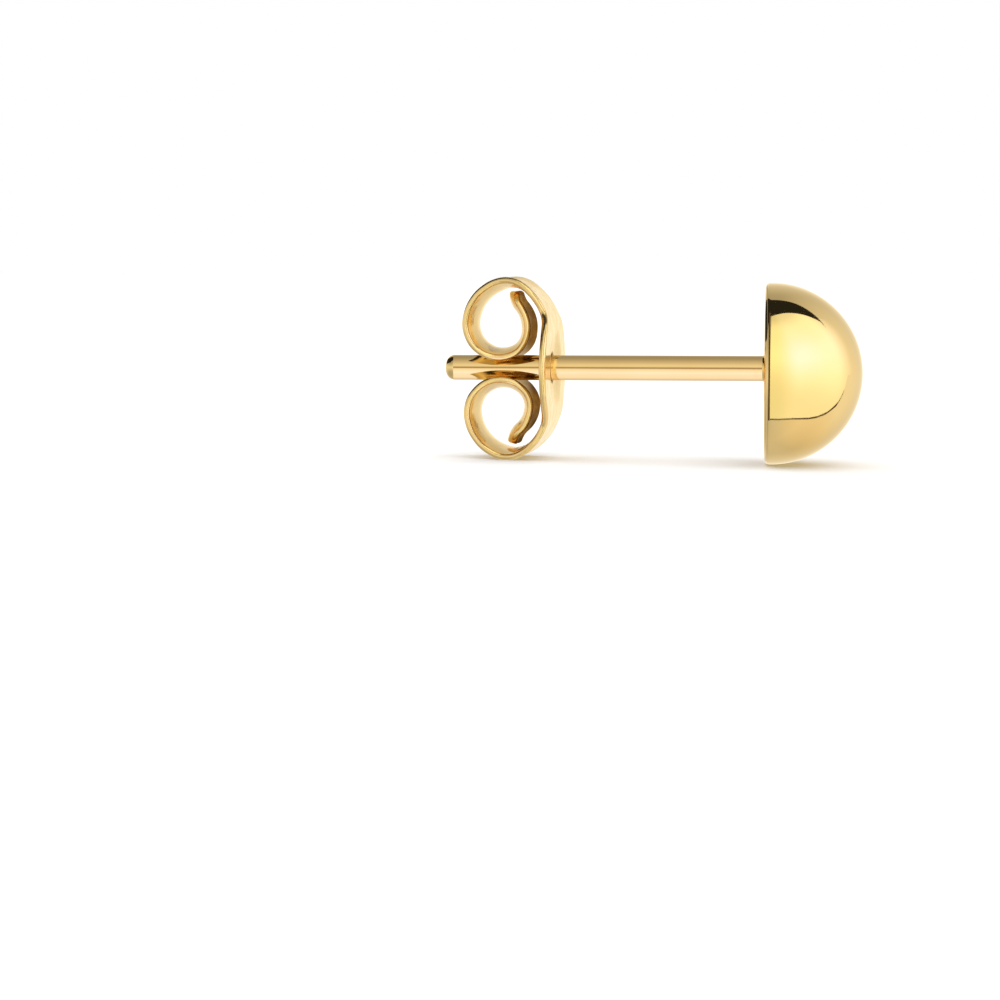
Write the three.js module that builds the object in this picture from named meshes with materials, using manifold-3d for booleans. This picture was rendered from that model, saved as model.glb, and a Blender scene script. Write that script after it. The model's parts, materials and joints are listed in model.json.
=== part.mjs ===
// A half-ball stud earring with its butterfly back on the post, at rest on a level surface.
// Millimetres. +X runs from the post's tip to the ball's front, +Z is up.
// The post's axis is first taken as Z = 0 and the ball's flat back as X = 0. The whole is then tipped
// until the ball and the lower roll stand on the same surface, and moved, so that the origin is at
// the bottom centre of its box.

import * as THREE from 'three';
import { mergeVertices } from 'three/addons/utils/BufferGeometryUtils.js';
import Module from 'manifold-3d';

// The half ball
const ballRadius = 3.0;
const ballCentreAhead = 0.22; // the ball's centre lies this far in front of its flat back
const ballDrop = 0.173; // and this far below the post's axis
const rimRound = 0.16;
const ballSides = 64;
const ballSteps = 18;
const rimSteps = 4;

// The post
const postRadius = 0.42;
const postLength = 10.63; // from the flat back to the tip
const postTipRound = 0.3;
const postRoot = 0.4; // how deep the post reaches into the ball
const solderReach = 0.1; // the fillet of solder round the post's foot
const postSides = 48;
const roundSteps = 5;

// The butterfly back: one strip of sheet, wide at the plate, with an arm rolled up at each end
const sheet = 0.22;
const plateAt = -7.06; // middle of the sheet's thickness
const plateHalfWidth = 2.5;
const plateHalfHeight = 2.04;
const backTurn = THREE.MathUtils.degToRad(-3); // the back sits this much askew on the post
const rollSlack = 0.03; // between the post and each roll
const holeSlack = 0.05; // and all round it in the plate's hole
const holeRadius = postRadius + holeSlack;
const drillLength = 2;
const dishDepth = 0.25; // the dished seat of the hole, pressed towards the scrolls
const dishRadius = 1.05;
const channelDepth = 0.19; // the arms are fluted, so that their middle stands in towards the roll
const channelStart = 2.0; // length along the strip where the flute begins
const channelFull = 4.2; // and where it has its full depth
const tipRound = 0.1; // the free ends are rounded over this length
const tipThickness = 0.35; // and their last section is this share of the sheet's thickness
const tipNarrowing = 0.2; // and this share narrower
const degreesPerStation = 8;
const plateStationGap = 0.17;
const tipSteps = 3;
const acrossSteps = 10;
const acrossCrowding = 1.2; // over 1, the faces are smaller near the strip's middle
const edgeSteps = 4;
const leanRounds = 4;

// Half the strip's width against the length along it from the post's axis
const armWidths = [
  { along: 1.5, half: 1.45 },
  { along: 2.6, half: 1.4 },
  { along: 3.8, half: 1.2 },
  { along: 6.0, half: 1.1 },
  { along: 8.2, half: 1.0 },
  { along: 10.0, half: 0.85 },
  { along: 11.0, half: 0.6 },
];
const widthBlend = 6; // how sharply the oval plate gives way to the arm

// Each arm's bends, in order from the flat plate to its free end. A bend below zero turns outwards.
const upperBends = [
  { name: 'shoulder', degrees: 16, radius: 0.95 },
  { name: 'rise', degrees: 40, radius: 2.05 },
  { name: 'crown', degrees: 50, radius: 0.97 },
  { name: 'fall', degrees: 68, radius: 1.52 },
  { name: 'belly', degrees: 126, radius: 1.09 },
  { name: 'inner turn', degrees: 54, radius: 0.83 },
  { name: 'inner rise', degrees: 45, radius: 1.32 },
  { name: 'lip', degrees: -37, radius: 0.58 },
];
const lowerBends = [
  { name: 'shoulder', degrees: 23, radius: 1.5 },
  { name: 'rise', degrees: 36, radius: 1.83 },
  { name: 'crown', degrees: 53, radius: 1.0 },
  { name: 'fall', degrees: 59, radius: 1.56 },
  { name: 'belly', degrees: 134, radius: 1.1 },
  { name: 'inner turn', degrees: 59, radius: 0.85 },
  { name: 'inner rise', degrees: 44, radius: 1.1 },
  { name: 'lip', degrees: -40, radius: 0.64 },
];

// The strip's edge line, where the belly of each roll passes the post: the fluted middle clears it
const bellyHeight = postRadius + rollSlack + sheet / 2 - channelDepth;

const wasm = await Module();
wasm.setup();

function solidOf(geometry) {
  const bare = geometry.clone();
  bare.deleteAttribute('normal');
  bare.deleteAttribute('uv');
  const merged = mergeVertices(bare, 1e-5);
  const mesh = new wasm.Mesh({
    numProp: 3,
    vertProperties: new Float32Array(merged.attributes.position.array),
    triVerts: new Uint32Array(merged.index.array),
  });
  return new wasm.Manifold(mesh);
}

function geometryOf(solid) {
  const mesh = solid.getMesh();
  const geometry = new THREE.BufferGeometry();
  geometry.setAttribute('position', new THREE.BufferAttribute(mesh.vertProperties, 3));
  geometry.setIndex(new THREE.BufferAttribute(mesh.triVerts, 1));
  geometry.computeVertexNormals();
  return geometry;
}

// Points of an arc as (radius, along), both ends included. Angles are from the radial direction.
function arc(centreRadius, centreAlong, radius, fromDegrees, toDegrees, steps) {
  const points = [];
  for (let i = 0; i <= steps; i += 1) {
    const angle = THREE.MathUtils.degToRad(fromDegrees + ((toDegrees - fromDegrees) * i) / steps);
    const across = centreRadius + radius * Math.cos(angle);
    points.push(new THREE.Vector2(across, centreAlong + radius * Math.sin(angle)));
  }
  return points;
}

// Turns a profile of (radius, X) points about the X axis
function turned(profile, sides) {
  const geometry = new THREE.LatheGeometry(profile, sides);
  geometry.rotateZ(-Math.PI / 2);
  return geometry;
}

function halfBall() {
  const rimCentre = Math.sqrt((ballRadius - rimRound) ** 2 - (ballCentreAhead - rimRound) ** 2);
  const meets = THREE.MathUtils.radToDeg(Math.atan2(rimRound - ballCentreAhead, rimCentre));
  const profile = [
    new THREE.Vector2(0, 0),
    ...arc(rimCentre, rimRound, rimRound, -90, meets, rimSteps),
    new THREE.Vector2(ballRadius, ballCentreAhead),
    ...arc(0, ballCentreAhead, ballRadius, 0, 90, ballSteps).slice(1, -1),
    new THREE.Vector2(0, ballCentreAhead + ballRadius),
  ];
  return turned(profile, ballSides);
}

function post() {
  const tipFlat = postRadius - postTipRound;
  const solderRadius = postRadius + solderReach;
  const profile = [
    new THREE.Vector2(0, -postLength),
    ...arc(tipFlat, postTipRound - postLength, postTipRound, -90, 0, roundSteps),
    ...arc(solderRadius, -solderReach, solderReach, 180, 90, roundSteps),
    new THREE.Vector2(solderRadius, postRoot),
    new THREE.Vector2(0, postRoot),
  ];
  return turned(profile, postSides);
}

// Stations along one arm, from the plate's middle to the free end: place, heading and length so far
function armStations(bends, flat) {
  const stations = [];
  const flatSteps = Math.round(flat / plateStationGap);
  for (let i = 0; i < flatSteps; i += 1) {
    const along = (flat * i) / flatSteps;
    stations.push({ x: plateAt, z: along, heading: 90, along });
  }
  let here = { x: plateAt, z: flat, heading: 90, along: flat };
  stations.push(here);
  for (const { degrees, radius } of bends) {
    const steps = Math.ceil(Math.abs(degrees) / degreesPerStation);
    const turn = degrees / steps;
    const chord = 2 * radius * Math.sin(THREE.MathUtils.degToRad(Math.abs(turn)) / 2);
    for (let i = 0; i < steps; i += 1) {
      const way = THREE.MathUtils.degToRad(here.heading + turn / 2);
      here = {
        x: here.x + chord * Math.cos(way),
        z: here.z + chord * Math.sin(way),
        heading: here.heading + turn,
        along: here.along + chord,
      };
      stations.push(here);
    }
  }
  return stations;
}

// The flat length is what sets the belly at its height beside the post
function fittedArm(bends) {
  const trial = armStations(bends, 0);
  const crownIndex = trial.reduce((best, s, i) => (s.z > trial[best].z ? i : best), 0);
  const belly = Math.min(...trial.slice(crownIndex).map((s) => s.z));
  return armStations(bends, bellyHeight - belly);
}

function armHalfWidth(along) {
  const after = armWidths.findIndex((row) => row.along > along);
  if (after === 0) return armWidths[0].half;
  if (after < 0) return armWidths[armWidths.length - 1].half;
  const a = armWidths[after - 1];
  const b = armWidths[after];
  return THREE.MathUtils.mapLinear(along, a.along, b.along, a.half, b.half);
}

function halfWidth(along) {
  const oval = plateHalfWidth * Math.sqrt(Math.max(0, 1 - (along / plateHalfHeight) ** 2));
  return (armHalfWidth(along) ** widthBlend + oval ** widthBlend) ** (1 / widthBlend);
}

// The share of its full thickness that the strip has near a free end, which is rounded
function endScale(toEnd) {
  if (toEnd >= tipRound) return 1;
  const left = 1 - toEnd / tipRound;
  return Math.max(tipThickness, Math.sqrt(1 - left * left));
}

// The place of one point of the bent strip. across and through run from -1 to 1.
// The edges are half round: there, through turns from the inner face to the outer one.
function stripPoint(station, across, through) {
  const scale = endScale(station.armLength - station.along);
  const thick = (sheet / 2) * scale;
  const half = halfWidth(station.along) * (1 - tipNarrowing * (1 - scale)) - sheet / 2;
  const angle = (through * Math.PI) / 2;
  const atEdge = Math.abs(across) === 1;
  const y = half * across + (atEdge ? across * thick * Math.cos(angle) : 0);
  const layer = thick * (atEdge ? Math.sin(angle) : through);
  const fluted = THREE.MathUtils.smoothstep(station.along, channelStart, channelFull);
  const flute = channelDepth * fluted * (1 - across * across);
  const fromHole = Math.hypot(y, station.along);
  const dish = dishDepth * (1 - THREE.MathUtils.smoothstep(fromHole, holeRadius, dishRadius));
  const inwards = layer + flute + dish;
  const way = THREE.MathUtils.degToRad(station.heading + 90);
  const x = station.x + inwards * Math.cos(way);
  const z = station.z + inwards * Math.sin(way);
  return new THREE.Vector3(x, y, z * station.side);
}

// An arm with the short straight end that its rounded tip takes. side is 1 above, -1 below.
function wholeArm(bends, side) {
  const arm = fittedArm(bends);
  const last = arm[arm.length - 1];
  const way = THREE.MathUtils.degToRad(last.heading);
  for (let i = 1; i <= tipSteps; i += 1) {
    const reach = tipRound * Math.sin((i / tipSteps) * (Math.PI / 2));
    arm.push({
      x: last.x + reach * Math.cos(way),
      z: last.z + reach * Math.sin(way),
      heading: last.heading,
      along: last.along + reach,
    });
  }
  const armLength = last.along + tipRound;
  return arm.map((station) => ({ ...station, side, armLength }));
}

// A flat blank, whose stations run from one free end over the plate to the other, bent to shape
function bentStrip(stations) {
  const alongSteps = stations.length - 1;
  const geometry = new THREE.BoxGeometry(1, 1, 1, alongSteps, acrossSteps, edgeSteps);
  const places = geometry.attributes.position;
  for (let i = 0; i < places.count; i += 1) {
    const station = stations[Math.round((places.getX(i) + 0.5) * alongSteps)];
    const spread = 2 * places.getY(i);
    const across = Math.sign(spread) * Math.abs(spread) ** acrossCrowding;
    const through = 2 * places.getZ(i);
    const point = stripPoint(station, across, through);
    places.setXYZ(i, point.x, point.y, point.z);
  }
  return geometry;
}

// How far the post leans, its tip down, with the ball and the lower roll on one level surface.
// The roll's lowest station depends a little on the lean, so a few rounds settle it.
function restLean(lowerArm) {
  let lean = 0;
  for (let round = 0; round < leanRounds; round += 1) {
    const depth = (station) => station.z * Math.cos(lean) - station.x * Math.sin(lean);
    const lowest = lowerArm.reduce((best, s) => (depth(s) > depth(best) ? s : best));
    const apart = new THREE.Vector2(ballCentreAhead - lowest.x, lowest.z - ballDrop);
    lean = Math.asin((ballRadius - sheet / 2) / apart.length()) - apart.angle();
  }
  return lean;
}

function butterflyBack(lowerArm) {
  const upperArm = wholeArm(upperBends, 1);
  const geometry = bentStrip([...lowerArm.toReversed(), ...upperArm.slice(1)]);
  const drill = new THREE.CylinderGeometry(holeRadius, holeRadius, drillLength, postSides);
  drill.rotateZ(Math.PI / 2);
  drill.rotateZ(-backTurn);
  drill.translate(plateAt, 0, 0);
  const shape = geometryOf(solidOf(geometry).subtract(solidOf(drill)));
  shape.translate(-plateAt, 0, 0);
  return shape;
}

const ball = halfBall();
ball.translate(0, 0, -ballDrop);
const studShape = geometryOf(solidOf(ball).add(solidOf(post())));
const lower = wholeArm(lowerBends, -1);

const polishedGold = new THREE.MeshStandardMaterial({
  color: 0xe8bf6a,
  roughness: 0.12,
  metalness: 1,
});
const tumbledGold = new THREE.MeshStandardMaterial({
  color: 0xe3b65c,
  roughness: 0.2,
  metalness: 1,
});

const stud = new THREE.Mesh(studShape, polishedGold);
stud.name = 'half_ball_post';

const butterfly = new THREE.Mesh(butterflyBack(lower), tumbledGold);
butterfly.name = 'butterfly_back';
butterfly.position.x = plateAt;
butterfly.rotation.z = backTurn;

const earring = new THREE.Group();
earring.add(stud, butterfly);
earring.rotation.y = -restLean(lower);
earring.updateMatrixWorld(true);
const box = new THREE.Box3().setFromObject(earring, true);
const middle = box.getCenter(new THREE.Vector3());
earring.position.set(-middle.x, -middle.y, -box.min.z);

export default earring;
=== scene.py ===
import json
import math

import bpy
import numpy as np
from mathutils import Matrix, Vector

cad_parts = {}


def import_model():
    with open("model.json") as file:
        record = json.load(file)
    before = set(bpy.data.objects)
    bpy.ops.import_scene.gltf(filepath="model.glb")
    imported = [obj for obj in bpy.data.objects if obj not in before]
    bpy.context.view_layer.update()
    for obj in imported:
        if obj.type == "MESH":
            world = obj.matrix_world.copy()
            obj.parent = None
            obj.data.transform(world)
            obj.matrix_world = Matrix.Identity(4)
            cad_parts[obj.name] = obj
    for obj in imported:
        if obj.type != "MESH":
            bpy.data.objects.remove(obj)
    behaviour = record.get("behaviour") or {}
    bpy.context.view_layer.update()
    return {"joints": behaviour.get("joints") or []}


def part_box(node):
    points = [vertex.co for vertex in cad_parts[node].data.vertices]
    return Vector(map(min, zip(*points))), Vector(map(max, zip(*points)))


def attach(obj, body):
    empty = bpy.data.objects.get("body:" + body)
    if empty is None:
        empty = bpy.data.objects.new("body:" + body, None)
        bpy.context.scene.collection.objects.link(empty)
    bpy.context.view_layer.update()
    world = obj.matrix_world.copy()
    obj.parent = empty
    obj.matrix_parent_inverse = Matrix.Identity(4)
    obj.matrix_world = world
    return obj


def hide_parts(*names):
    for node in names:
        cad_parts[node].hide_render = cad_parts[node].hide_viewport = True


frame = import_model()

# Lengths here are millimetres, and MM turns them into Blender's metres.
# Shapes are made with the post's axis as Z = 0 and the ball's flat back as X = 0, +X to the front,
# and then placed as the earring rests: leaning a little, on the ball and the back's lower roll.
MM = 0.001

# The stud
stud_low, stud_high = (Vector(corner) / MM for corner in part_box("half_ball_post"))
BALL_RADIUS = (stud_high.y - stud_low.y) / 2
BALL_CENTRE = Vector((0.22, 0, -0.173))
RIM_ROUND = 0.16
POST_RADIUS = 0.42
POST_LENGTH = 10.63
TIP_ROUND = 0.3
SOLDER_REACH = 0.1
BALL_WAVES = 0.0012  # how far the polished ball departs from round
BALL_WAVES_START = (0.3, 1.0)  # distances from the flat back where they begin and are full

# The stud's rings: how many on the straight stretches, and the degrees between them on the rounds
STUD_SIDES = 240
END_RINGS = 4
SHAFT_RINGS = 60
BACK_RINGS = 24
TIP_STEP = 4
SOLDER_STEP = 8
RIM_STEP = 5
BALL_STEP = 1.0
AXIS_HOLE = 0.02  # radius of the smallest ring at the post's end
FRONT_STOP = 0.5  # degrees from the axis of the smallest ring on the ball

# The rest position, from the slide's axis and the ball's place in the frame
SLIDE = Vector(frame["joints"][0]["axis"])
LEAN = Matrix.Rotation(-math.atan2(SLIDE.z, SLIDE.x), 4, "Y")
BALL_AT_REST = Vector((stud_high.x - BALL_RADIUS, 0, stud_high.z - BALL_RADIUS))
REST = Matrix.Translation(BALL_AT_REST - LEAN @ BALL_CENTRE) @ LEAN

# The butterfly back
PLATE_X = -7.06
SHEET = 0.22
PLATE_HALF_WIDTH = 2.5
PLATE_HALF_HEIGHT = 2.04
BACK_TURN = math.radians(-3)  # the back sits this much askew on the post
ROLL_SLACK = 0.03  # between the post and each roll
HOLE_SLACK = 0.05  # and all round the post in the plate's hole
HOLE_RADIUS = POST_RADIUS + HOLE_SLACK
HOLE_LIP = 0.05  # the hole's edges are rounded this much
DISH_DEPTH = 0.12  # the dished seat of the hole
DISH_RADIUS = 1.5
CHANNEL_DEPTH = 0.19  # the arms are fluted, so that their middle stands in towards the roll
CHANNEL_SPAN = (2.0, 4.2)  # lengths along the strip where the flute begins and has its full depth
BELLY_HEIGHT = POST_RADIUS + ROLL_SLACK + SHEET / 2 - CHANNEL_DEPTH
WIDTH_BLEND = 6  # how sharply the plate's oval passes into the arms
TIP_LENGTH = 0.1  # the straight end past the last bend, over which the sheet is rounded off
TIP_THINNEST = 0.1  # and the share of its thickness that is left at the very end
CORNER_ROUND = 0.42  # of the free ends, seen flat
SHEET_WAVES = 0.004  # how far the tumbled sheet departs from smooth
SHEET_PACE = 1.9  # how quickly those waves follow each other
CRIMP = 0.02  # how far the edges of the inner turns are bent about
CRIMP_SPAN = (6.6, 8.2)  # lengths along the strip where that begins and is full
CRIMP_PACE = (1.1, 0.4)  # along the strip and across it
CRIMP_LIMIT = 1.2  # it grows towards the edges up to this share of the flat part's half width

# Where polishing doesn't reach, and where shade is painted into the colour as a darker brown, as
# lengths along the strip
ARM_RECESS = (7.4, 8.4)  # it begins on the inner turns' outer face
PLATE_RECESS = (2.2, 3.0)  # and ends on the plate's back
FACE_ONLY = 12  # a power that is near zero anywhere but on a face

# Half the strip's width against the length along it from the post's axis
ARM_WIDTHS = [
    {"along": 1.5, "half": 1.45},
    {"along": 2.6, "half": 1.4},
    {"along": 3.8, "half": 1.2},
    {"along": 6.0, "half": 1.1},
    {"along": 8.2, "half": 1.0},
    {"along": 10.0, "half": 0.85},
    {"along": 11.0, "half": 0.6},
]

# Each arm's bends from the flat plate to its free end; a bend below zero turns outwards
UPPER_BENDS = [
    {"name": "shoulder", "degrees": 16, "radius": 0.95},
    {"name": "rise", "degrees": 40, "radius": 2.05},
    {"name": "crown", "degrees": 50, "radius": 0.97},
    {"name": "fall", "degrees": 68, "radius": 1.52},
    {"name": "belly", "degrees": 126, "radius": 1.09},
    {"name": "inner turn", "degrees": 54, "radius": 0.83},
    {"name": "inner rise", "degrees": 45, "radius": 1.32},
    {"name": "lip", "degrees": -37, "radius": 0.58},
]
LOWER_BENDS = [
    {"name": "shoulder", "degrees": 23, "radius": 1.5},
    {"name": "rise", "degrees": 36, "radius": 1.83},
    {"name": "crown", "degrees": 53, "radius": 1.0},
    {"name": "fall", "degrees": 59, "radius": 1.56},
    {"name": "belly", "degrees": 134, "radius": 1.1},
    {"name": "inner turn", "degrees": 59, "radius": 0.85},
    {"name": "inner rise", "degrees": 44, "radius": 1.1},
    {"name": "lip", "degrees": -40, "radius": 0.64},
]

# The strip's grid
ROW_GAP = 0.045
ACROSS = 36  # faces from the strip's middle line to each edge
EDGE = 10  # faces round each half-round edge
CORNER_ROWS = 13  # rows round each free end's corners
LIP_ROWS = 5  # and round each lip of the hole
PATH_STEP = 0.01  # length between the places worked out along each arm
HOLE_ROWS = 10  # faces from the hole's middle to its edge along the strip, and across it
HOLE_COLUMNS = 8
HOLE_BLEND = 2.2  # the grid is round at the hole, and straight again at this many times its size
COLUMNS = 2 * ACROSS + 1  # points across a face
OUTER = COLUMNS + EDGE - 1  # where the outer face begins, in a row's loop of points
LOOP = 2 * OUTER

# The camera, in the stud's own frame: nearly square on to the post and a little from above, turned
# so that the earring comes where it is in the picture
CAMERA_PLACE = Vector((0.8, -90.0, 3.5))
CAMERA_YAW = math.radians(6.1)
CAMERA_PITCH = math.radians(5.02)
FOCAL_PIXELS = 2705.0
PICTURE_PIXELS = 1000
SENSOR = 36.0

# The studio: a tent of light round the earring. Azimuth goes from the camera's side towards +X,
# elevation up from the level, both in degrees. A level of 1 is as bright as white paper.
SURROUND = 0.71  # what the floor gets from all round
SUN_STRENGTH = 1.9
SUN_ANGLE = math.radians(100)
PAPER = 0.9  # how much light the floor's paper gives back
TENT_RADIUS = 1500.0
SOFTBOX_RADIUS = TENT_RADIUS - 5
FRAME_RADIUS = TENT_RADIUS - 6
CEILING_HEIGHT = 200.0
FLOOR_REACH = 600.0
DARK = (0.09, 0.065, 0.04)  # the dark frame's colour

# The tent's walls, by azimuth and by elevation, and their two poles
WALLS = [
    {"azimuth": -180, "-60": 0.66, "-30": 0.84, "0": 1.22, "30": 0.72, "60": 0.46},
    {"azimuth": -135, "-60": 0.52, "-30": 0.56, "0": 0.92, "30": 0.46, "60": 0.36},
    {"azimuth": -80, "-60": 0.46, "-30": 0.48, "0": 0.90, "30": 0.42, "60": 0.34},
    {"azimuth": -30, "-60": 0.48, "-30": 0.56, "0": 0.92, "30": 0.54, "60": 0.40},
    {"azimuth": -8, "-60": 0.62, "-30": 0.76, "0": 1.00, "30": 0.82, "60": 0.58},
    {"azimuth": 5, "-60": 0.70, "-30": 0.80, "0": 0.96, "30": 0.80, "60": 0.55},
    {"azimuth": 60, "-60": 0.84, "-30": 0.90, "0": 0.95, "30": 0.90, "60": 0.60},
    {"azimuth": 115, "-60": 0.74, "-30": 0.95, "0": 0.97, "30": 0.88, "60": 0.66},
    {"azimuth": 148, "-60": 0.64, "-30": 0.80, "0": 0.88, "30": 0.70, "60": 0.54},
    {"azimuth": 162, "-60": 0.64, "-30": 0.80, "0": 1.00, "30": 0.68, "60": 0.48},
    {"azimuth": 170, "-60": 0.66, "-30": 0.84, "0": 1.22, "30": 0.72, "60": 0.46},
    {"azimuth": 180, "-60": 0.66, "-30": 0.84, "0": 1.22, "30": 0.72, "60": 0.46},
]
WALL_ELEVATIONS = (-60, -30, 0, 30, 60)
WALL_FOOT = 0.70
WALL_TOP = 0.40

# Two warm parts of the walls: their tints, and where each begins and is full along the axes of a
# direction
LOW_RIGHT_TINT = (1.07, 1.0, 0.88)
LOW_RIGHT = {"down": (-0.5, -0.75), "right": (0, 0.4)}
BEHIND_TINT = (1.0, 0.97, 0.85)
BEHIND = (0.85, 0.97)

# The softbox: its outline, its level by elevation, and how much brighter it is on the right
SOFTBOX = [
    {"azimuth": -2, "low": -56, "high": 84, "frame": 1.8},
    {"azimuth": 15, "low": -56, "high": 84, "frame": 1.8},
    {"azimuth": 34, "low": -54, "high": 84, "frame": 1.8},
    {"azimuth": 53, "low": -51, "high": 84, "frame": 2.0},
    {"azimuth": 70, "low": -47, "high": 84, "frame": 2.2},
    {"azimuth": 82, "low": -42, "high": 82, "frame": 2.6},
    {"azimuth": 94, "low": -34, "high": 74, "frame": 3.2},
    {"azimuth": 104, "low": -22, "high": 60, "frame": 4.5},
    {"azimuth": 109, "low": -9, "high": 52, "frame": 2.0},
    {"azimuth": 111, "low": -2, "high": 50},
    {"azimuth": 128, "low": 0, "high": 34},
]
SOFTBOX_LEVELS = [
    {"elevation": -56, "level": 1.00},
    {"elevation": -33, "level": 1.01},
    {"elevation": -13, "level": 1.04},
    {"elevation": -3, "level": 1.09},
    {"elevation": 7, "level": 1.20},
    {"elevation": 18, "level": 1.32},
    {"elevation": 28, "level": 1.33},
    {"elevation": 45, "level": 1.25},
    {"elevation": 61, "level": 1.18},
    {"elevation": 73, "level": 0.88},
    {"elevation": 84, "level": 0.80},
]
SOFTBOX_FADE = (92, 126)  # azimuths over which it passes into the walls
SOFTBOX_TINT = (0.96, 1.0, 0.8)
RIGHT_PART = (5, 38)  # azimuths where its brighter right part begins and is full
RIGHT_GAIN = 0.11
RIGHT_BLUE = 0.12
RIGHT_BAND = {"elevation": -3, "spread": 17, "gain": 0.15}  # a brighter band across that part
HOT_BAND = {"elevation": 24, "spread": 24, "blue": 0.6}  # and a whiter one over it
HOT_DIM = {"azimuths": (38, 85), "loss": 0.45}  # which gets weaker to the right

# The softbox's dark edge on the left, close to the ball, whose rim reflects it
EDGE_RADIUS = 12.0
EDGE_REACH = (-2.6, -0.13)
EDGE_ROUND = (-52, 76)

# A glowing hoop close round the post, a light that only the post reflects, by the angle round it
# from the camera's side up
HOOP_RADIUS = 8.0
HOOP_REACH = (-12.2, -0.14)
HOOP_RAYS = (7.45, 8.1)  # the lengths of rays that meet it: most of the post's, and few others
HOOP = [
    {"round": -150, "red": 0.70, "green": 0.70, "blue": 0.95},
    {"round": -129, "red": 0.73, "green": 0.73, "blue": 0.95},
    {"round": -111, "red": 0.92, "green": 0.92, "blue": 1.12},
    {"round": -97, "red": 1.08, "green": 1.08, "blue": 1.38},
    {"round": -62, "red": 1.12, "green": 1.13, "blue": 1.55},
    {"round": -42, "red": 1.20, "green": 1.23, "blue": 1.86},
    {"round": -23, "red": 1.08, "green": 1.12, "blue": 1.36},
    {"round": -8, "red": 1.00, "green": 0.95, "blue": 1.00},
    {"round": -2, "red": 0.46, "green": 0.38, "blue": 0.34},
    {"round": 3, "red": 0.40, "green": 0.31, "blue": 0.26},
    {"round": 8, "red": 0.60, "green": 0.52, "blue": 0.46},
    {"round": 14, "red": 0.92, "green": 0.90, "blue": 0.85},
    {"round": 22, "red": 0.90, "green": 0.90, "blue": 0.88},
    {"round": 31, "red": 0.86, "green": 0.84, "blue": 0.82},
    {"round": 50, "red": 0.69, "green": 0.66, "blue": 0.64},
    {"round": 72, "red": 0.53, "green": 0.50, "blue": 0.48},
    {"round": 90, "red": 0.42, "green": 0.40, "blue": 0.38},
    {"round": 110, "red": 0.36, "green": 0.35, "blue": 0.36},
    {"round": 132, "red": 0.37, "green": 0.37, "blue": 0.42},
    {"round": 150, "red": 0.60, "green": 0.62, "blue": 0.75},
]

# Openings in the roof, which are dark: places on a ceiling one unit above the ball
ROOF_GAP_LEVEL = 0.02
ROOF_GAP = [(-0.2, -0.3), (-0.02, -0.2), (0.21, -0.06), (0.47, 0.07), (0.73, 0.2), (0.94, 0.31),
            (1.19, 0.335), (0.94, 0.35), (0.3, 0.365), (0, 0.34), (-0.4, 0.52), (-0.97, 1.05),
            (-1.9, 2.7), (-3.2, 3.9), (-6.0, 3.4), (-4.3, 1.95), (-2.1, -0.21), (-1.2, -0.6)]


def smoothstep(low, high, value):
    t = np.clip((value - low) / (high - low), 0, 1)
    return t * t * (3 - 2 * t)


def waves(a, b, seed):
    """A gentle irregular surface over two lengths, between -1 and 1."""
    return (np.sin(2.3 * a + 1.1 * b + seed) + np.sin(3.9 * a - 2.7 * b + 2 * seed)
            + np.sin(1.3 * b - 5.7 * a + 3 * seed) + np.sin(4.7 * b + 0.9 * a + 5 * seed)) / 4


def add_layer(piece, name, values):
    layer = piece.data.attributes.new(name, "FLOAT", "POINT")
    layer.data.foreach_set("value", np.asarray(values, dtype=np.float32))


def new_piece(name, points, faces, body, nodes):
    """A visible piece that moves with body and stands for the solids of nodes."""
    mesh = bpy.data.meshes.new(name)
    mesh.from_pydata(np.asarray(points).tolist(), [], faces)
    mesh.transform(Matrix.Scale(MM, 4) @ REST)
    mesh.shade_smooth()
    piece = bpy.data.objects.new(name, mesh)
    bpy.context.collection.objects.link(piece)
    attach(piece, body)
    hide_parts(*nodes)
    return piece


def arc(centre_x, centre_r, radius, start, stop, step):
    """Points (x, radius) of an arc of a turned profile, angles in degrees from +X."""
    count = max(2, int(abs(stop - start) / step) + 1)
    angles = np.radians(np.linspace(start, stop, count))
    return [(centre_x + radius * math.cos(a), centre_r + radius * math.sin(a)) for a in angles]


def stud_rings():
    """Rings (x, radius, height of the centre), from the post's tip to the ball's front."""
    ahead = BALL_CENTRE.x - RIM_ROUND
    rim_r = math.sqrt((BALL_RADIUS - RIM_ROUND) ** 2 - ahead ** 2)
    meets = 90 + math.degrees(math.atan2(ahead, rim_r))
    tip_flat = POST_RADIUS - TIP_ROUND
    shaft = np.linspace(TIP_ROUND - POST_LENGTH, -SOLDER_REACH, SHAFT_RINGS)
    foot_r = POST_RADIUS + SOLDER_REACH
    post = [(-POST_LENGTH, r) for r in np.linspace(AXIS_HOLE, tip_flat, END_RINGS)[:-1]]
    post += arc(shaft[0], tip_flat, TIP_ROUND, 180, 90, TIP_STEP)
    post += [(x, POST_RADIUS) for x in shaft[1:-1]]
    post += arc(shaft[-1], foot_r, SOLDER_REACH, -90, 0, SOLDER_STEP)
    rings = [(x, r, 0) for x, r in post]
    for share in np.linspace(0, 1, BACK_RINGS)[1:-1]:
        rings.append((0, foot_r + share * (rim_r - foot_r), share * BALL_CENTRE.z))
    ball = arc(RIM_ROUND, rim_r, RIM_ROUND, 180, meets, RIM_STEP)
    ball += arc(BALL_CENTRE.x, 0, BALL_RADIUS, meets, FRONT_STOP, BALL_STEP)[1:]
    return rings + [(x, r, BALL_CENTRE.z) for x, r in ball]


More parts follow.
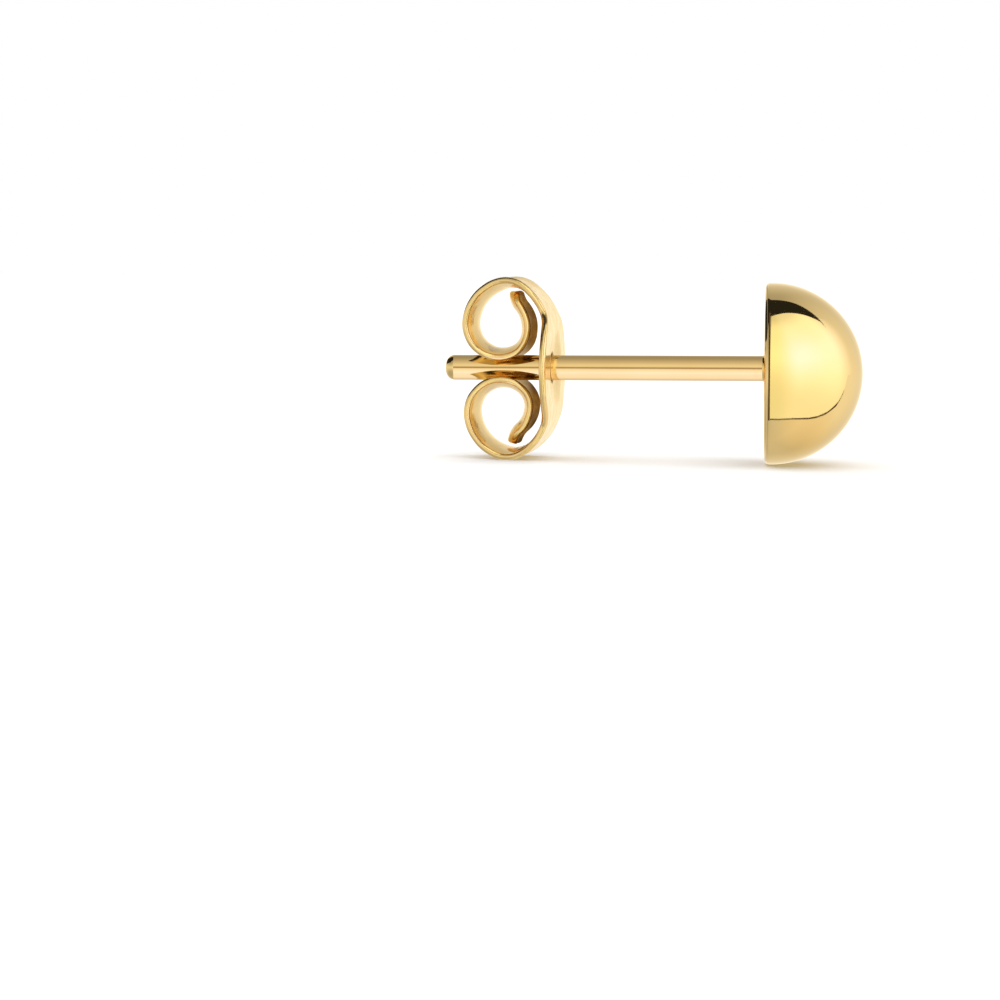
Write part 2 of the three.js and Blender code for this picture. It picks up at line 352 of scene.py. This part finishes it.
def half_ball_and_post():
    rings = stud_rings()
    angles = np.linspace(0, 2 * math.pi, STUD_SIDES, endpoint=False)
    points = [(-POST_LENGTH, 0, 0)]
    for x, r, z in rings:
        points += [(x, r * math.sin(a), z + r * math.cos(a)) for a in angles]
    points.append((BALL_CENTRE.x + BALL_RADIUS, 0, BALL_CENTRE.z))
    front = len(points) - 1
    points = np.array(points)
    drawn = points[:, 0] < 0
    out = points - BALL_CENTRE
    share = smoothstep(*BALL_WAVES_START, points[:, 0])
    swell = BALL_WAVES * share * waves(out[:, 1], out[:, 2], seed=1.7)
    points += out / BALL_RADIUS * swell[:, None]
    last_ring = front - STUD_SIDES
    faces = []
    for j in range(STUD_SIDES):
        k = (j + 1) % STUD_SIDES
        faces.append((0, 1 + j, 1 + k))
        faces.append((last_ring + j, front, last_ring + k))
        for start in range(1, last_ring, STUD_SIDES):
            after = start + STUD_SIDES
            faces.append((start + j, after + j, after + k, start + k))
    stud = new_piece("half_ball_and_post", points, faces, "stud",
                     ["half_ball_post"])
    add_layer(stud, "drawn", drawn)
    return stud


def arm_path(bends, flat):
    """Rows of x, z, heading and length along, from the plate's middle to the free end."""
    rows = [(PLATE_X, 0.0, math.pi / 2, 0.0), (PLATE_X, flat, math.pi / 2, flat)]
    for bend in bends:
        turn = math.radians(bend["degrees"])
        count = math.ceil(abs(turn) * bend["radius"] / PATH_STEP)
        chord = 2 * bend["radius"] * math.sin(abs(turn) / count / 2)
        for _ in range(count):
            x, z, heading, along = rows[-1]
            way = heading + turn / count / 2
            rows.append((x + chord * math.cos(way), z + chord * math.sin(way),
                         heading + turn / count, along + chord))
    x, z, heading, along = rows[-1]
    rows.append((x + TIP_LENGTH * math.cos(heading), z + TIP_LENGTH * math.sin(heading),
                 heading, along + TIP_LENGTH))
    return np.array(rows)


def fitted_arm(bends):
    """The flat length is what sets the roll's belly at its height beside the post."""
    trial = arm_path(bends, 0.0)
    crown = int(np.argmax(trial[:, 1]))
    return arm_path(bends, BELLY_HEIGHT - trial[crown:, 1].min())


UPPER = fitted_arm(UPPER_BENDS)
LOWER = fitted_arm(LOWER_BENDS)


def half_width(along):
    known = [row["along"] for row in ARM_WIDTHS]
    arm = np.interp(along, known, [row["half"] for row in ARM_WIDTHS])
    oval = PLATE_HALF_WIDTH * np.sqrt(np.clip(1 - (along / PLATE_HALF_HEIGHT) ** 2, 0, None))
    return (arm ** WIDTH_BLEND + oval ** WIDTH_BLEND) ** (1 / WIDTH_BLEND)


def row_lengths():
    """Signed lengths along the strip, below zero on the lower arm, closer together at the ends."""
    rows = [0.0]
    for length, side in ((LOWER[-1, 3], -1), (UPPER[-1, 3], 1)):
        body = np.arange(ROW_GAP, length - CORNER_ROUND, ROW_GAP)
        end = length - CORNER_ROUND * (1 - np.sin(np.linspace(0, math.pi / 2, CORNER_ROWS)))
        rows += list(side * np.concatenate([body, end]))
    return np.array(sorted(rows))


def bent(s, y, layer, core):
    """Places of points of the flat blank: length along, across, through the thickness.

    core is the half width of the strip's flat part there."""
    along = np.abs(s)
    side = np.where(s < 0, -1.0, 1.0)

    def path(column):
        lower = np.interp(along, LOWER[:, 3], LOWER[:, column])
        upper = np.interp(along, UPPER[:, 3], UPPER[:, column])
        return np.where(s < 0, lower, upper)

    flute = np.clip(1 - (y / core) ** 2, 0, None) * smoothstep(*CHANNEL_SPAN, along)
    dish = 1 - smoothstep(HOLE_RADIUS, DISH_RADIUS, np.hypot(s, y))
    to_edge = np.clip(np.abs(y) / core, 0, CRIMP_LIMIT) ** 2
    crimp = CRIMP * to_edge * smoothstep(*CRIMP_SPAN, along)
    crimp = crimp * waves(CRIMP_PACE[0] * s, CRIMP_PACE[1] * y, seed=4.1)
    ripple = SHEET_WAVES * waves(SHEET_PACE * s, SHEET_PACE * y, seed=0.6)
    inwards = layer + CHANNEL_DEPTH * flute + DISH_DEPTH * dish + crimp + ripple
    way = path(2) + math.pi / 2
    x = path(0) + inwards * np.cos(way) - PLATE_X
    z = side * (path(1) + inwards * np.sin(way))
    turned_x = x * math.cos(BACK_TURN) - y * math.sin(BACK_TURN)
    turned_y = x * math.sin(BACK_TURN) + y * math.cos(BACK_TURN)
    return np.stack([PLATE_X + turned_x, turned_y, z], axis=-1)


def row_shape(rows):
    """At each row, the half width of the strip's flat part and half the sheet's thickness."""
    ends = np.where(rows < 0, LOWER[-1, 3], UPPER[-1, 3])
    to_end = ends - np.abs(rows)
    left = np.clip(1 - to_end / CORNER_ROUND, 0, 1)
    corner = CORNER_ROUND * (1 - np.sqrt(1 - left ** 2))
    thin = np.clip(1 - to_end / TIP_LENGTH, 0, 1)
    thick = SHEET / 2 * np.sqrt(np.clip(1 - thin ** 2, TIP_THINNEST ** 2, 1))
    return half_width(np.abs(rows)) - corner - SHEET / 2, thick


def face_grid(rows, core, middle):
    """Lengths along and across of a face's points, opened into a circle round the hole.

    The third result is each point's angle round the hole."""
    share = np.linspace(-1, 1, COLUMNS)
    s, v = np.meshgrid(rows, share, indexing="ij")
    y = v * core[:, None]
    i, j = np.meshgrid((np.arange(len(rows)) - middle) / HOLE_ROWS,
                       np.arange(-ACROSS, ACROSS + 1) / HOLE_COLUMNS, indexing="ij")
    square = np.maximum(np.abs(i), np.abs(j))
    angle = np.arctan2(j, i)
    radius = (HOLE_RADIUS + HOLE_LIP) * square
    straight = smoothstep(1, HOLE_BLEND, square)
    s = s * straight + radius * np.cos(angle) * (1 - straight)
    y = y * straight + radius * np.sin(angle) * (1 - straight)
    return s, y, angle


def strip_loops(rows, s, y, core, thick):
    """A loop of points round the strip at each row: inner face, edge, outer face, edge."""
    round_edge = np.linspace(math.pi / 2, -math.pi / 2, EDGE + 1)[1:-1]
    wide = core[:, None]
    deep = thick[:, None]
    edge_s = np.repeat(rows[:, None], EDGE - 1, axis=1)
    edge_y = wide + deep * np.cos(round_edge)
    edge_layer = deep * np.sin(round_edge)
    face_layer = np.repeat(deep, COLUMNS, axis=1)
    loop_s = np.hstack([s, edge_s, s[:, ::-1], edge_s])
    loop_y = np.hstack([y, edge_y, y[:, ::-1], -edge_y])
    loop_layer = np.hstack([face_layer, edge_layer, -face_layer, -edge_layer])
    return loop_s, loop_y, loop_layer


def at(row, place):
    """The number of a strip point, from its row and its place in the row's loop."""
    return row * LOOP + place % LOOP


def under(column):
    """The place in a loop that is on the outer face, right behind a column of the inner one."""
    return OUTER + COLUMNS - 1 - column


def strip_faces(row_count, middle):
    """The strip's faces and its two ends, open at the hole."""

    def over_hole(row, column):
        return abs(row + 0.5 - middle) < HOLE_ROWS and abs(column + 0.5 - ACROSS) < HOLE_COLUMNS

    faces = []
    for row in range(row_count - 1):
        for place in range(LOOP):
            if place < COLUMNS - 1 and over_hole(row, place):
                continue
            if OUTER <= place < OUTER + COLUMNS - 1 and over_hole(row, place - OUTER):
                continue
            faces.append((at(row, place), at(row, place + 1),
                          at(row + 1, place + 1), at(row + 1, place)))
    for row, flip in ((0, 1), (row_count - 1, -1)):
        for column in range(COLUMNS - 1):
            across = [at(row, column), at(row, column + 1),
                      at(row, under(column + 1)), at(row, under(column))]
            faces.append(tuple(across[::-flip]))
        near = [at(row, COLUMNS - 1 + k) for k in range(EDGE + 1)]
        far = [at(row, OUTER + COLUMNS - 1 + k) for k in range(EDGE + 1)]
        faces += [tuple(near[::-flip]), tuple(far[::-flip])]
    return faces


def hole_wall(angle, core, middle, first):
    """Points and faces of the hole's wall, between the openings of the two faces.

    Its points are numbered from first on."""
    rim = [(middle - HOLE_ROWS, ACROSS + k) for k in range(-HOLE_COLUMNS, HOLE_COLUMNS)]
    rim += [(middle + k, ACROSS + HOLE_COLUMNS) for k in range(-HOLE_ROWS, HOLE_ROWS)]
    rim += [(middle + HOLE_ROWS, ACROSS - k) for k in range(-HOLE_COLUMNS, HOLE_COLUMNS)]
    rim += [(middle - k, ACROSS - HOLE_COLUMNS) for k in range(-HOLE_ROWS, HOLE_ROWS)]
    lip = np.linspace(0, math.pi / 2, LIP_ROWS)[1:]
    profile = [(HOLE_LIP * (1 - math.sin(a)), SHEET / 2 - HOLE_LIP * (1 - math.cos(a)))
               for a in lip]
    profile += [(out, -layer) for out, layer in profile[::-1]]
    angles = np.array([angle[place] for place in rim])
    rings = [[at(row, column) for row, column in rim]]
    points = []
    for out, layer in profile:
        ring_s = (HOLE_RADIUS + out) * np.cos(angles)
        ring_y = (HOLE_RADIUS + out) * np.sin(angles)
        points.append(bent(ring_s, ring_y, np.full_like(ring_s, layer), core))
        rings.append(list(range(first, first + len(rim))))
        first += len(rim)
    rings.append([at(row, under(column)) for row, column in rim])
    faces = []
    for ring, after in zip(rings, rings[1:]):
        for k in range(len(rim)):
            m = (k + 1) % len(rim)
            faces.append((ring[k], after[k], after[m], ring[m]))
    return np.vstack(points), faces


def butterfly():
    rows = row_lengths()
    middle = int(np.argmin(np.abs(rows)))
    core, thick = row_shape(rows)
    s, y, angle = face_grid(rows, core, middle)
    loop_s, loop_y, loop_layer = strip_loops(rows, s, y, core, thick)
    strip = bent(loop_s, loop_y, loop_layer, core[:, None]).reshape(-1, 3)
    wall, wall_faces = hole_wall(angle, core[middle], middle, first=len(strip))
    points = np.vstack([strip, wall])
    faces = strip_faces(len(rows), middle) + wall_faces
    back = new_piece("butterfly", points, faces, "butterfly",
                     ["butterfly_back"])
    # Painted shade: the recess mask darkens the colour to a brown in the gaps between the rolls
    # and all over the hole's wall, and makes the gold rougher there
    unpolished_and_shaded = recess(loop_s, loop_layer).ravel()
    add_layer(back, "recess", np.concatenate([unpolished_and_shaded, np.ones(len(wall))]))
    return back


def recess(s, layer):
    """How much polishing misses, which is also how much shade is painted into the colour: all on
    the two faces named above, and none round the edges.
    """
    along = np.abs(s)
    outer = np.clip(-layer / (SHEET / 2), 0, 1) ** FACE_ONLY
    inner = np.clip(layer / (SHEET / 2), 0, 1) ** FACE_ONLY
    return (outer * smoothstep(*ARM_RECESS, along)
            + inner * (1 - smoothstep(*PLATE_RECESS, along)))


GOLD = (0.95, 0.69, 0.29, 1)
GOLD_DEEP = (0.9, 0.61, 0.23, 1)
# A dark brown painted shade for the recesses, on gold that is left unpolished there
GOLD_SHADE_AND_DULL = (0.46, 0.29, 0.11, 1)
EDGE_TINT = (1.0, 0.98, 0.92, 1)  # at a glancing angle
DRAWN_DEPTH = 0.0006  # of the lines along the drawn post
DENT_DEPTH = 0.007
DULL_ROUGHNESS = 0.25  # what the dull places have over the bright ones
SCRATCH_SHARE = 0.15  # of the dents' depth


class Shading:
    """A metal shader and the nodes that vary it over the surface."""

    def __init__(self, name):
        self.material = bpy.data.materials.new(name)
        self.material.use_nodes = True
        self.tree = self.material.node_tree
        self.shader = self.tree.nodes["Principled BSDF"]
        self.shader.inputs["Metallic"].default_value = 1.0
        self.shader.inputs["Specular Tint"].default_value = EDGE_TINT

    def add(self, kind, inputs=(), **settings):
        node = self.tree.nodes.new("ShaderNode" + kind)
        for name, value in settings.items():
            setattr(node, name, value)
        for socket, value in inputs:
            if isinstance(value, bpy.types.NodeSocket):
                self.tree.links.new(value, node.inputs[socket])
            else:
                node.inputs[socket].default_value = value
        return node

    def places(self, stretch=(1, 1, 1)):
        """Places on the piece in millimetres, drawn out along some axes."""
        here = self.add("TexCoord").outputs["Object"]
        scale = [value / MM for value in stretch]
        return self.add("Mapping", [("Vector", here), ("Scale", scale)]).outputs[0]

    def noise(self, scale, detail=3.0, stretch=(1, 1, 1)):
        inputs = [("Vector", self.places(stretch)), ("Scale", scale), ("Detail", detail)]
        return self.add("TexNoise", inputs).outputs["Fac"]

    def spread(self, value, low, high, start=0.35, stop=0.65):
        """value's range from start to stop, drawn out from low to high."""
        inputs = [("Value", value), ("From Min", start), ("From Max", stop),
                  ("To Min", low), ("To Max", high)]
        return self.add("MapRange", inputs).outputs[0]

    def mix(self, share, first, second):
        inputs = [(0, share), (6, first), (7, second)]
        return self.add("Mix", inputs, data_type="RGBA").outputs[2]

    def total(self, first, second, operation="ADD"):
        return self.add("Math", [(0, first), (1, second)], operation=operation).outputs[0]

    def layer(self, name):
        return self.add("Attribute", attribute_name=name).outputs["Fac"]

    def set(self, socket, value):
        self.tree.links.new(value, self.shader.inputs[socket])

    def bump(self, height, depth):
        """depth is the real depth in millimetres of height's range."""
        node = self.add("Bump", [("Height", height), ("Distance", depth * MM), ("Strength", 1.0)])
        self.set("Normal", node.outputs[0])


def polished_gold():
    """Mirror bright on the ball; the post is drawn wire, with fine lines along it."""
    gold = Shading("polished_gold")
    drawn = gold.layer("drawn")
    cloud = gold.noise(0.5)
    lines = gold.noise(9.0, stretch=(0.05, 1, 1))
    gold.set("Base Color", gold.mix(gold.spread(cloud, low=0.0, high=0.35), GOLD, GOLD_DEEP))
    ball_finish = gold.spread(gold.noise(2.2, detail=5.0), low=0.03, high=0.07)
    post_finish = gold.total(gold.spread(lines, low=0.0, high=0.06), drawn, "MULTIPLY")
    gold.set("Roughness", gold.total(ball_finish, post_finish))
    gold.bump(gold.total(lines, drawn, "MULTIPLY"), DRAWN_DEPTH)
    return gold.material


def tumbled_gold():
    """Tumbled bright on the outside, with soft dents, and unpolished and rougher where the rolls
    close in, where shade is also painted into the colour as a dark brown.
    """
    gold = Shading("tumbled_gold")
    patches = gold.spread(gold.noise(2.5, detail=4.0), low=0.6, high=1.0)
    # Painted shade: the recess mask, broken into patches, darkens the colour to a brown and adds
    # roughness
    shaded_and_dull = gold.total(gold.layer("recess"), patches, "MULTIPLY")
    bright = gold.mix(gold.spread(gold.noise(1.2), low=0.0, high=0.5), GOLD, GOLD_DEEP)
    gold.set("Base Color", gold.mix(shaded_and_dull, bright, GOLD_SHADE_AND_DULL))
    finish = gold.spread(gold.noise(3.0, detail=5.0), low=0.14, high=0.24)
    gold.set("Roughness", gold.total(finish, gold.total(shaded_and_dull, DULL_ROUGHNESS, "MULTIPLY")))
    dents = gold.spread(gold.noise(3.4, detail=2.0), low=0.0, high=1.0, start=0.2, stop=0.8)
    scratches = gold.total(gold.noise(14.0, stretch=(1, 0.15, 1)), SCRATCH_SHARE, "MULTIPLY")
    gold.bump(gold.total(dents, scratches), DENT_DEPTH)
    return gold.material


def camera():
    data = bpy.data.cameras.new("camera")
    data.sensor_width = SENSOR
    data.lens = FOCAL_PIXELS / PICTURE_PIXELS * SENSOR
    data.clip_start = MM
    seen = bpy.data.objects.new("camera", data)
    bpy.context.collection.objects.link(seen)
    ahead = Vector((-math.sin(CAMERA_YAW) * math.cos(CAMERA_PITCH),
                    math.cos(CAMERA_YAW) * math.cos(CAMERA_PITCH), -math.sin(CAMERA_PITCH)))
    right = Vector((math.cos(CAMERA_YAW), math.sin(CAMERA_YAW), 0))
    up = right.cross(ahead)
    turn = LEAN.to_3x3() @ Matrix((right, up, -ahead)).transposed()
    seen.matrix_world = Matrix.Translation(REST @ CAMERA_PLACE * MM) @ turn.to_4x4()
    bpy.context.scene.camera = seen


def direction(azimuth, elevation):
    azimuth, elevation = math.radians(azimuth), math.radians(elevation)
    return Vector((math.cos(elevation) * math.sin(azimuth),
                   -math.cos(elevation) * math.cos(azimuth), math.sin(elevation)))


def glowing(name, colours_from_mesh):
    """A material that gives off the colours of a layer of the mesh."""
    material = bpy.data.materials.new(name)
    material.use_nodes = True
    tree = material.node_tree
    tree.nodes.clear()
    output = tree.nodes.new("ShaderNodeOutputMaterial")
    light = tree.nodes.new("ShaderNodeEmission")
    tree.links.new(light.outputs[0], output.inputs["Surface"])
    colours = tree.nodes.new("ShaderNodeAttribute")
    colours.attribute_name = colours_from_mesh
    tree.links.new(colours.outputs["Color"], light.inputs["Color"])
    material.cycles.emission_sampling = "NONE"
    return material


def stage_card(name, points, faces, glow, place=Matrix.Translation(BALL_AT_REST) @ LEAN):
    """A card that only the metal reflects. glow has a colour for each point."""
    mesh = bpy.data.meshes.new(name)
    mesh.from_pydata([tuple(p) for p in points], [], faces)
    mesh.transform(Matrix.Scale(MM, 4) @ place)
    layer = mesh.attributes.new("glow", "FLOAT_COLOR", "POINT")
    for value, colour in zip(layer.data, glow):
        value.color = (*colour, 1)
    card = bpy.data.objects.new(name, mesh)
    bpy.context.collection.objects.link(card)
    card.data.materials.append(glowing(name, "glow"))
    card.visible_camera = False
    card.visible_shadow = False
    card.visible_diffuse = False
    return card


def patch_faces(across, up):
    """Four-sided faces of a grid whose points run up each column in turn."""
    return [(i * up + j, (i + 1) * up + j, (i + 1) * up + j + 1, i * up + j + 1)
            for i in range(across - 1) for j in range(up - 1)]


def tent_panel(name, rows, glow, radius, step=2.0, up=40):
    """A curved panel between two lines of elevation, given at a few azimuths.

    Its grid has a column every step degrees, and up points in each."""
    azimuths = np.arange(rows[0]["azimuth"], rows[-1]["azimuth"] + step / 2, step)
    known = [row["azimuth"] for row in rows]
    lows = np.interp(azimuths, known, [row["low"] for row in rows])
    highs = np.interp(azimuths, known, [row["high"] for row in rows])
    places = [(azimuth, elevation) for azimuth, low, high in zip(azimuths, lows, highs)
              for elevation in np.linspace(low, high, up)]
    stage_card(name, [direction(*place) * radius for place in places],
               patch_faces(len(azimuths), up), [glow(*place) for place in places])


def wall_glow(azimuth, elevation):
    """Warmer low on the right, and behind."""
    known = [row["azimuth"] for row in WALLS]
    levels = [np.interp(azimuth, known, [row[str(e)] for row in WALLS]) for e in WALL_ELEVATIONS]
    levels = (WALL_FOOT, *levels, WALL_TOP)
    level = float(np.interp(elevation, (-90, *WALL_ELEVATIONS, 90), levels))
    way = direction(azimuth, elevation)
    low_right = smoothstep(*LOW_RIGHT["down"], way.z) * smoothstep(*LOW_RIGHT["right"], way.x)
    behind = smoothstep(*BEHIND, way.y)
    return tuple(level * float(1 + low_right * (low - 1) + behind * (back - 1))
                 for low, back in zip(LOW_RIGHT_TINT, BEHIND_TINT))


def band(elevation, row):
    """1 at the row's elevation, less above and below it."""
    return math.exp(-((elevation - row["elevation"]) / row["spread"]) ** 2)


def softbox_glow(azimuth, elevation):
    level = np.interp(elevation, [row["elevation"] for row in SOFTBOX_LEVELS],
                      [row["level"] for row in SOFTBOX_LEVELS])
    right = smoothstep(*RIGHT_PART, azimuth)
    level += right * (RIGHT_GAIN + RIGHT_BAND["gain"] * band(elevation, RIGHT_BAND))
    dim = HOT_DIM["loss"] * smoothstep(*HOT_DIM["azimuths"], azimuth)
    hot = right * band(elevation, HOT_BAND) * (1 - dim)
    blue = RIGHT_BLUE * right + HOT_BAND["blue"] * hot
    colour = (np.array(SOFTBOX_TINT) + (0, 0, blue)) * level
    fade = smoothstep(*SOFTBOX_FADE, azimuth)
    return tuple(colour * (1 - fade) + np.array(wall_glow(azimuth, elevation)) * fade)


def dark_glow(azimuth, elevation):
    """The same all over, for a panel."""
    return DARK


def bent_card(name, radius, reach, angles, colours):
    """A card bent round the post's axis, by the angle from the camera's side up."""
    points = [(side, -radius * math.cos(a), radius * math.sin(a))
              for side in reach for a in np.radians(angles)]
    return stage_card(name, points, patch_faces(2, len(angles)), list(colours) * 2, REST)


def softbox_edge():
    """What the ball's rim reflects as its dark line."""
    angles = np.arange(EDGE_ROUND[0], EDGE_ROUND[1] + 1, 2)
    bent_card("softbox_edge", EDGE_RADIUS, EDGE_REACH, angles, [DARK] * len(angles))


def hoop():
    """Clear to all rays but those of about its distance from the post, which reflects it."""
    angles = np.arange(HOOP[0]["round"], HOOP[-1]["round"] + 1)
    known = [row["round"] for row in HOOP]
    colours = np.stack([np.interp(angles, known, [row[name] for row in HOOP])
                        for name in ("red", "green", "blue")], axis=1)
    card = bent_card("hoop", HOOP_RADIUS, HOOP_REACH, angles, colours)
    tree = card.data.materials[0].node_tree
    output = tree.nodes["Material Output"]
    light = output.inputs["Surface"].links[0].from_socket
    rays = tree.nodes.new("ShaderNodeLightPath")
    far = tree.nodes.new("ShaderNodeMath")
    far.operation = "COMPARE"
    far.inputs[1].default_value = sum(HOOP_RAYS) / 2 * MM
    far.inputs[2].default_value = (HOOP_RAYS[1] - HOOP_RAYS[0]) / 2 * MM
    clear = tree.nodes.new("ShaderNodeBsdfTransparent")
    choice = tree.nodes.new("ShaderNodeMixShader")
    tree.links.new(rays.outputs["Ray Length"], far.inputs[0])
    tree.links.new(far.outputs[0], choice.inputs[0])
    tree.links.new(clear.outputs[0], choice.inputs[1])
    tree.links.new(light, choice.inputs[2])
    tree.links.new(choice.outputs[0], output.inputs["Surface"])


def roof_gap():
    points = [(x * CEILING_HEIGHT, y * CEILING_HEIGHT, CEILING_HEIGHT) for x, y in ROOF_GAP]
    glow = [(ROOF_GAP_LEVEL,) * 3] * len(points)
    stage_card("roof_gap", points, [tuple(range(len(points)))], glow)


def studio():
    all_round = [{"azimuth": azimuth, "low": -90, "high": 90} for azimuth in (-180, 180)]
    tent_panel("walls", all_round, wall_glow, TENT_RADIUS, step=4.0, up=46)
    tent_panel("softbox", SOFTBOX, softbox_glow, SOFTBOX_RADIUS)
    below = [{"azimuth": row["azimuth"], "low": row["low"] - row["frame"], "high": row["low"]}
             for row in SOFTBOX if "frame" in row]
    tent_panel("softbox_frame", below, dark_glow, FRAME_RADIUS, up=2)
    softbox_edge()
    hoop()
    roof_gap()


def floor():
    """White paper under a broad light from above, which the metal doesn't reflect."""
    reach = FLOOR_REACH * MM
    mesh = bpy.data.meshes.new("floor")
    corners = [(x * reach, y * reach, 0) for x, y in ((-1, -1), (1, -1), (1, 1), (-1, 1))]
    mesh.from_pydata(corners, [], [(0, 1, 2, 3)])
    ground = bpy.data.objects.new("floor", mesh)
    bpy.context.collection.objects.link(ground)
    material = bpy.data.materials.new("white_paper")
    material.use_nodes = True
    shader = material.node_tree.nodes["Principled BSDF"]
    shader.inputs["Base Color"].default_value = (PAPER, PAPER, PAPER, 1)
    shader.inputs["Roughness"].default_value = 1.0
    shader.inputs["Specular IOR Level"].default_value = 0.0
    ground.data.materials.append(material)
    ground.visible_glossy = False
    data = bpy.data.lights.new("overhead", "SUN")
    data.angle = SUN_ANGLE
    data.energy = SUN_STRENGTH
    lamp = bpy.data.objects.new("overhead", data)
    bpy.context.collection.objects.link(lamp)
    lamp.visible_glossy = False


def world():
    """White to the camera, and a soft even light to the rest."""
    surround = bpy.data.worlds.new("surround")
    surround.use_nodes = True
    tree = surround.node_tree
    walls = tree.nodes["Background"]
    walls.inputs["Color"].default_value = (SURROUND, SURROUND, SURROUND, 1)
    backdrop = tree.nodes.new("ShaderNodeBackground")
    backdrop.inputs["Color"].default_value = (1, 1, 1, 1)
    seen = tree.nodes.new("ShaderNodeLightPath")
    choice = tree.nodes.new("ShaderNodeMixShader")
    tree.links.new(seen.outputs["Is Camera Ray"], choice.inputs[0])
    tree.links.new(walls.outputs[0], choice.inputs[1])
    tree.links.new(backdrop.outputs[0], choice.inputs[2])
    tree.links.new(choice.outputs[0], tree.nodes["World Output"].inputs["Surface"])
    bpy.context.scene.world = surround
    bpy.context.scene.view_settings.view_transform = "Standard"


camera()
world()
studio()
floor()
half_ball_and_post().data.materials.append(polished_gold())
butterfly().data.materials.append(tumbled_gold())
